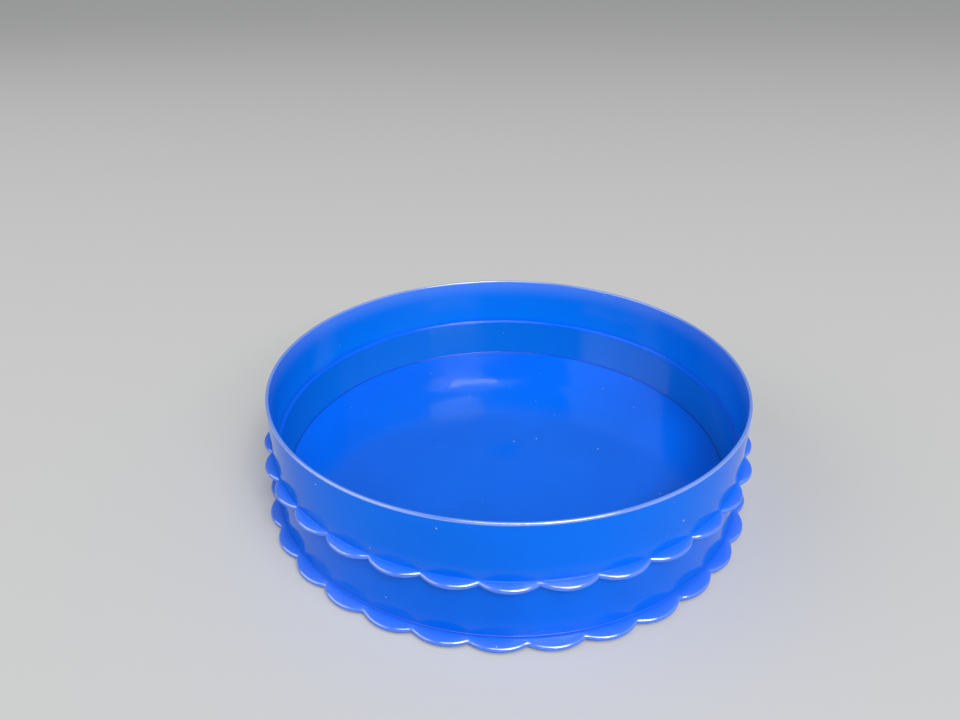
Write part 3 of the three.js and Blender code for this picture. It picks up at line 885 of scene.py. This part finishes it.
class WHEEL_OT_foot_plate(bpy.types.Operator):
    """Builds the foot plate: scalloped foot, floor, ribs, boss and pockets for the feet."""

    bl_idname = "pottery_wheel.add_foot_plate"
    bl_label = "Foot Plate"

    def execute(self, context):
        base, shape, bearing = (
            context.scene.wheel_base, context.scene.wheel_flange, context.scene.wheel_bearing)
        under = PLATE_LOW.z
        top = under + shape.thickness
        floor = under + base.floor_thickness
        wall = DRUM_HIGH.x + base.drum_inset
        rib_outer = DRUM_HIGH.x - base.drum_wall - base.rib_gap
        rib_inner = rib_outer - base.rib_wall
        head = SPINDLE_HIGH.x + base.seat_gap
        boss_top = BUSH_LOW.z - 0.2 * MM
        roof = SPINDLE_LOW.z + bearing.spindle_head + base.seat_gap
        bore = bearing.spindle_radius + bearing.press_fit
        race_outer = LOWER_RACE_HIGH.x
        seat = seat_ribs(base, race_outer - bearing.race_width, race_outer, floor, base.seat)
        outline = Scallops(shape, wall, shape.foot_valley, shape.foot_tip, shape.foot_angle)
        stack = Stack(outline.angles)
        # Painted light on the scallops' edges.
        stack.scallop_edge(outline.edge(shape, top, under))
        inner_profile = rounded([
            (head, under), (head, roof), (bore, roof), (bore, boss_top),
            (base.boss_radius, boss_top), (base.boss_radius, floor), *reversed(seat),
            (rib_inner, floor), (rib_inner, PLATE_HIGH.z), (rib_outer, PLATE_HIGH.z), (rib_outer, top),
        ], 0.2 * MM)
        stack.turn([(wall - 0.5 * MM, under)], PLAIN)
        stack.turn(inner_profile, PLAIN)
        stack.turn([(wall, top)], FLANGE_ROOT)
        made = loft("foot_plate", stack.rows, close=True, looks=stack.looks)
        bosses = self.over_feet(under + 0.5 * MM, base.foot_gap + base.foot_boss_wall)
        join(made, self.ribs(base, floor, rib_inner) + bosses)
        join(made, self.over_feet(under - 2 * MM, base.foot_gap), "DIFFERENCE")
        made_plain(made, lambda co: hypot(co.x, co.y) < wall - 0.1 * MM)
        place_piece(made, "base", "base_plastic", "base", "foot_plate")
        return {"FINISHED"}

    def ribs(self, base, floor, end):
        """The radial stiffeners as blocks to be joined on."""
        start = LOWER_RACE_HIGH.x + base.seat_gap + base.seat / 2
        far = end + base.rib_wall / 2
        half = base.stiffener_wall / 2
        blocks = []
        for _, _, angle in on_circle(base.stiffeners, 1):
            bm = bmesh.new()
            bmesh.ops.create_cube(bm, size=1)
            low, high = floor - base.floor_thickness / 2, floor + base.stiffener_height
            size = Vector((far - start, 2 * half, high - low))
            middle = Vector(((far + start) / 2, 0, (low + high) / 2))
            bmesh.ops.scale(bm, vec=size, verts=bm.verts)
            bmesh.ops.translate(bm, vec=middle, verts=bm.verts)
            bmesh.ops.bevel(bm, geom=bm.edges[:], offset=0.25 * MM, segments=2, affect="EDGES")
            bmesh.ops.rotate(bm, matrix=Matrix.Rotation(angle, 3, "Z"), verts=bm.verts)
            blocks.append(finished("stiffener", bm))
        return blocks

    def over_feet(self, low, extra):
        """Pegs round the rubber feet, wider and higher than them, for their bosses and pockets."""
        places = [foot_place(foot) for foot in FEET]
        return [peg(x, y, radius + extra, low, high + extra) for x, y, radius, _, high in places]


class WHEEL_OT_feet(bpy.types.Operator):
    """Builds the rubber feet."""

    bl_idname = "pottery_wheel.add_feet"
    bl_label = "Rubber Feet"

    def execute(self, context):
        base = context.scene.wheel_base
        for foot in FEET:
            made = peg(*foot_place(foot), base.foot_round)
            made.name = made.data.name = "foot_pad_" + foot.rsplit("_", 1)[1]
            place_piece(made, "base", "black_rubber", "rubber", foot)
        return {"FINISHED"}


class WHEEL_OT_turntable(bpy.types.Operator):
    """Builds the drive plate that carries the pan, and its bush."""

    bl_idname = "pottery_wheel.add_turntable"
    bl_label = "Turntable"

    def execute(self, context):
        base, bearing, pan = (
            context.scene.wheel_base, context.scene.wheel_bearing, context.scene.wheel_pan)
        bore = bearing.spindle_radius + bearing.bush_play
        sleeve = bore + bearing.bush_wall
        hub_bore = sleeve + bearing.press_fit
        hub = hub_bore + bearing.hub_wall
        under = DRIVE_HIGH.z - bearing.drive_thickness
        race_inner = UPPER_RACE_HIGH.x - bearing.race_width
        counterbore = WASHER_HIGH.x + 0.3 * MM
        seat = seat_ribs(base, race_inner, UPPER_RACE_HIGH.x, under, -base.seat)
        profile = rounded([
            (hub_bore, DRIVE_LOW.z), (hub, DRIVE_LOW.z), (hub, under), *reversed(seat),
            (DRIVE_HIGH.x, under), (DRIVE_HIGH.x, DRIVE_HIGH.z), (counterbore, DRIVE_HIGH.z),
            (counterbore, BUSH_HIGH.z + 0.1 * MM), (hub_bore, BUSH_HIGH.z + 0.1 * MM),
        ], 0.3 * MM)
        plate = turned("turntable", profile, WIDE_STEPS)
        hole = pan.lug_radius + bearing.lug_clearance
        holes = [peg(x, y, hole, under - MM, DRIVE_HIGH.z + MM) for x, y, _ in on_circle(3, pan.lug_circle)]
        join(plate, holes, "DIFFERENCE")
        place_piece(plate, "turntable", "turntable_plastic", "turntable", "drive_plate")
        low, high = BUSH_LOW.z, BUSH_HIGH.z
        flange = low + bearing.bush_flange
        bush = turned("bush_sleeve", rounded([
            (bore, low), (BUSH_HIGH.x, low), (BUSH_HIGH.x, flange),
            (sleeve, flange), (sleeve, high), (bore, high),
        ], bearing.edge), NARROW_STEPS)
        place_piece(bush, "turntable", "white_nylon", "nylon", "bush")
        return {"FINISHED"}


class WHEEL_OT_races(bpy.types.Operator):
    """Builds the two races, the cage and the balls."""

    bl_idname = "pottery_wheel.add_races"
    bl_label = "Ball Race"

    def execute(self, context):
        bearing = context.scene.wheel_bearing
        low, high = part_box(BALLS[0])
        ball = (high.z - low.z) / 2
        height = (high.z + low.z) / 2
        centres = {name: (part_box(name)[0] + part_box(name)[1]) / 2 for name in BALLS}
        circle_radius = LOWER_RACE_HIGH.x - bearing.race_width / 2
        groove = ball + bearing.ball_clearance
        for piece, node, body, (bottom, top), facing in (
                ("race_under", "lower_race", "base", (LOWER_RACE_LOW.z, LOWER_RACE_HIGH.z), 1),
                ("race_over", "upper_race", "turntable", (UPPER_RACE_LOW.z, UPPER_RACE_HIGH.z), -1)):
            face, back = (top, bottom) if facing > 0 else (bottom, top)
            rise = abs(face - height)
            half = degrees(acos(rise / groove))
            lip = arc(circle_radius, height, groove, -90 + half, -90 - half, 12)
            if facing < 0:
                lip = [(r, 2 * height - z) for r, z in lip]
            outer, inner = LOWER_RACE_HIGH.x, LOWER_RACE_HIGH.x - bearing.race_width
            profile = [(inner, back), (outer, back), (outer, face), *lip, (inner, face)]
            place_piece(turned(piece, profile, WIDE_STEPS), body, "pressed_steel", "race", node)
        self.cage(bearing, circle_radius, ball, centres)
        for name, centre in centres.items():
            made = turned("steel_" + name, arc(0, 0, ball, -90, 90, 20), 40)
            made.data.transform(Matrix.Translation((centre.x, centre.y, height)))
            place_piece(made, "cage", "bright_steel", "steel", name)
        return {"FINISHED"}

    def cage(self, bearing, circle_radius, ball, centres):
        """The ring that keeps the balls apart."""
        outer = CAGE_HIGH.x
        inner = 2 * circle_radius - outer
        low, high = CAGE_LOW.z, CAGE_HIGH.z
        ring = flat_ring("cage_ring", inner, outer, low, high, bearing.edge, WIDE_STEPS)
        radius = ball + bearing.cage_clearance
        holes = [peg(c.x, c.y, radius, low - MM, high + MM, steps=40) for c in centres.values()]
        join(ring, holes, "DIFFERENCE")
        place_piece(ring, "cage", "white_nylon", "nylon", "ball_cage")


class WHEEL_OT_spindle(bpy.types.Operator):
    """Builds the spindle with its washer and retaining clip."""

    bl_idname = "pottery_wheel.add_spindle"
    bl_label = "Spindle"

    def execute(self, context):
        bearing = context.scene.wheel_bearing
        shank, head = bearing.spindle_radius, SPINDLE_HIGH.x
        groove = shank - bearing.groove_depth
        low, high = SPINDLE_LOW.z, SPINDLE_HIGH.z
        head_top = low + bearing.spindle_head
        groove_low, groove_high = CLIP_LOW.z - 0.1 * MM, CLIP_HIGH.z + 0.1 * MM
        profile = [(0, low)] + arc(head - 0.5 * MM, low + 0.5 * MM, 0.5 * MM, -90, 0, 4)
        profile += [(head, head_top), (shank, head_top), (shank, groove_low), (groove, groove_low),
                    (groove, groove_high), (shank, groove_high)]
        profile += arc(shank - SMALL_ROUND, high - SMALL_ROUND, SMALL_ROUND, 0, 90, 3) + [(0, high)]
        place_piece(turned("centre_pin", profile, NARROW_STEPS), "base", "bright_steel", "steel", "spindle")
        washer = flat_ring("washer_ring", shank + bearing.bush_play + 0.2 * MM, WASHER_HIGH.x,
                           WASHER_LOW.z, WASHER_HIGH.z, bearing.edge, NARROW_STEPS)
        place_piece(washer, "base", "white_nylon", "nylon", "thrust_washer")
        clip = self.clip(groove + 0.2 * MM, CLIP_HIGH.y, bearing.clip_mouth)
        place_piece(clip, "base", "pressed_steel", "race", "retaining_clip")
        return {"FINISHED"}

    def clip(self, inner, outer, mouth):
        """The open ring: an arc with rounded lips, and its edges broken."""
        steps = 48
        bm = bmesh.new()
        turn = [mouth / 2 + (2 * pi - mouth) * i / steps for i in range(steps + 1)]
        middle, half = (inner + outer) / 2, (outer - inner) / 2
        outline = [Vector((outer * cos(a), outer * sin(a), CLIP_LOW.z)) for a in turn]
        outline += self.lip(middle, half, turn[-1], 1)
        outline += [Vector((inner * cos(a), inner * sin(a), CLIP_LOW.z)) for a in reversed(turn)]
        outline += self.lip(middle, half, turn[0], -1)
        face = bm.faces.new([bm.verts.new(p) for p in outline])
        up = bmesh.ops.extrude_face_region(bm, geom=[face])
        verts = [item for item in up["geom"] if isinstance(item, bmesh.types.BMVert)]
        bmesh.ops.translate(bm, vec=(0, 0, CLIP_HIGH.z - CLIP_LOW.z), verts=verts)
        rims = [e for e in bm.edges if abs(e.verts[0].co.z - e.verts[1].co.z) < 1e-7]
        bmesh.ops.bevel(bm, geom=rims, offset=0.12 * MM, segments=2, affect="EDGES")
        return finished("clip_ring", bm)

    def lip(self, middle, half, angle, side):
        """The round end of the clip, without the two points that the arms already have."""
        at = Vector((middle * cos(angle), middle * sin(angle), CLIP_LOW.z))
        out = Vector((cos(angle), sin(angle), 0))
        along = Vector((-sin(angle), cos(angle), 0)) * side
        turns = [pi * i / 8 for i in range(1, 8)]
        points = [at + (out * cos(t) + along * sin(t) * 0.4) * half for t in turns]
        return points if side > 0 else list(reversed(points))


def direction(elevation, azimuth):
    """The direction from the wheel to a light, from two angles in degrees."""
    e, a = radians(elevation), radians(azimuth)
    return Vector((cos(e) * cos(a), cos(e) * sin(a), sin(e)))


class WHEEL_OT_stage(bpy.types.Operator):
    """Builds the camera, the pale floor and the soft lights."""

    bl_idname = "pottery_wheel.add_stage"
    bl_label = "Studio"

    def execute(self, context):
        stage = context.scene.wheel_stage
        self.camera(context.scene, stage)
        self.floor(stage)
        self.sky(context.scene, stage)
        self.daylight(62, 290, 50, 1.6)
        self.light("tube", 48, 290, 3.2, (1.2, 0.32), 30.0)
        self.light("window", 29.5, 299, 3.2, (1.5, 0.6), 24.0)
        self.light("right_fill", 28, -15, 3.0, (3.0, 2.4), 7.0)
        self.light("left_fill", 30, 195, 3.0, (3.0, 2.4), 32.0)
        return {"FINISHED"}

    def camera(self, scene, stage):
        """The camera looks along +Y and down, at the height of the rim's middle."""
        data = bpy.data.cameras.new("camera")
        data.lens, data.sensor_width = stage.lens, SENSOR_WIDTH
        made = bpy.data.objects.new("camera", data)
        scene.collection.objects.link(made)
        forward = Vector((0, cos(stage.pitch), -sin(stage.pitch)))
        up = Vector((0, sin(stage.pitch), cos(stage.pitch)))
        side = Vector((1, 0, 0))
        right = side * cos(stage.roll) + up * sin(stage.roll)
        lift = up * cos(stage.roll) - side * sin(stage.roll)
        axes = Matrix((right, lift, -forward)).transposed().to_4x4()
        away = forward * -stage.distance - side * stage.aside + up * stage.above
        made.matrix_world = Matrix.Translation(Vector((0, 0, PAN_HIGH.z)) + away) @ axes
        scene.camera = made

    def floor(self, stage):
        """A wide, matt, pale floor."""
        bm = bmesh.new()
        bmesh.ops.create_grid(bm, x_segments=8, y_segments=8, size=30)
        made = finished("studio_floor", bm)
        finish = Finish("studio_floor")
        finish.set(Base_Color=rgba(stage.floor_color), Roughness=0.85, Specular_IOR_Level=0.2)
        made.data.materials.append(finish.material)

    def sky(self, scene, stage):
        """Even light from all round."""
        world = bpy.data.worlds.new("studio_sky")
        world.use_nodes = True
        tree = Tree(world.node_tree)
        shade = world.node_tree.nodes["Background"]
        shade.inputs["Color"].default_value = rgba(stage.sky_color)
        seen = tree.node("LightPath").outputs["Is Camera Ray"]
        more = tree.times(seen, stage.backdrop - stage.sky_strength)
        tree.feed(shade, "Strength", tree.plus(more, stage.sky_strength))
        scene.world = world
        scene.view_settings.view_transform = "Standard"

    def daylight(self, elevation, azimuth, spread, strength):
        """Wide soft light, as strong far away as it is at the wheel."""
        data = self.lamp("daylight", "SUN", direction(elevation, azimuth), 0).data
        data.angle, data.energy = radians(spread), strength

    def light(self, name, elevation, azimuth, distance, size, power):
        """A rectangular soft light at a direction from the wheel, facing it."""
        data = self.lamp(name, "AREA", direction(elevation, azimuth), distance).data
        data.shape = "RECTANGLE"
        data.size, data.size_y = size
        data.energy = power

    def lamp(self, name, kind, away, distance):
        """A lamp of a kind, some distance from the rim's middle and facing it."""
        made = bpy.data.objects.new(name, bpy.data.lights.new(name, kind))
        bpy.context.scene.collection.objects.link(made)
        made.location = Vector((0, 0, PAN_HIGH.z)) + away * distance
        made.rotation_mode = "QUATERNION"
        made.rotation_quaternion = away.to_track_quat("Z", "Y")
        return made


class WHEEL_PT_panel(bpy.types.Panel):
    """Lists the pieces of the wheel and their sizes."""

    bl_idname = "WHEEL_PT_panel"
    bl_label = "Pottery Wheel"
    bl_space_type = "VIEW_3D"
    bl_region_type = "UI"
    bl_category = "Pottery Wheel"

    def draw(self, context):
        for name in SETTINGS:
            box = self.layout.box()
            settings = getattr(context.scene, name)
            for key in settings.__annotations__:
                box.prop(settings, key)
        for operator in PIECES:
            self.layout.operator(operator.bl_idname)


SETTINGS = {
    "wheel_pan": PanSettings, "wheel_flange": FlangeSettings, "wheel_base": BaseSettings,
    "wheel_bearing": BearingSettings, "wheel_finish": FinishSettings, "wheel_stage": StageSettings,
}
PIECES = (
    WHEEL_OT_stage, WHEEL_OT_pan, WHEEL_OT_drum, WHEEL_OT_foot_plate, WHEEL_OT_feet,
    WHEEL_OT_turntable, WHEEL_OT_races, WHEEL_OT_spindle,
)


def register():
    """Registers the settings, the operators and the panel."""
    for name, group in SETTINGS.items():
        bpy.utils.register_class(group)
        setattr(bpy.types.Scene, name, PointerProperty(type=group))
    for made in (*PIECES, WHEEL_PT_panel):
        bpy.utils.register_class(made)


def unregister():
    """Takes them away again."""
    for made in (WHEEL_PT_panel, *reversed(PIECES)):
        bpy.utils.unregister_class(made)
    for name, group in SETTINGS.items():
        delattr(bpy.types.Scene, name)
        bpy.utils.unregister_class(group)


def main():
    """Builds everything in order."""
    register()
    for operator in PIECES:
        space, name = operator.bl_idname.split(".")
        getattr(getattr(bpy.ops, space), name)()


if __name__ == "__main__":
    main()
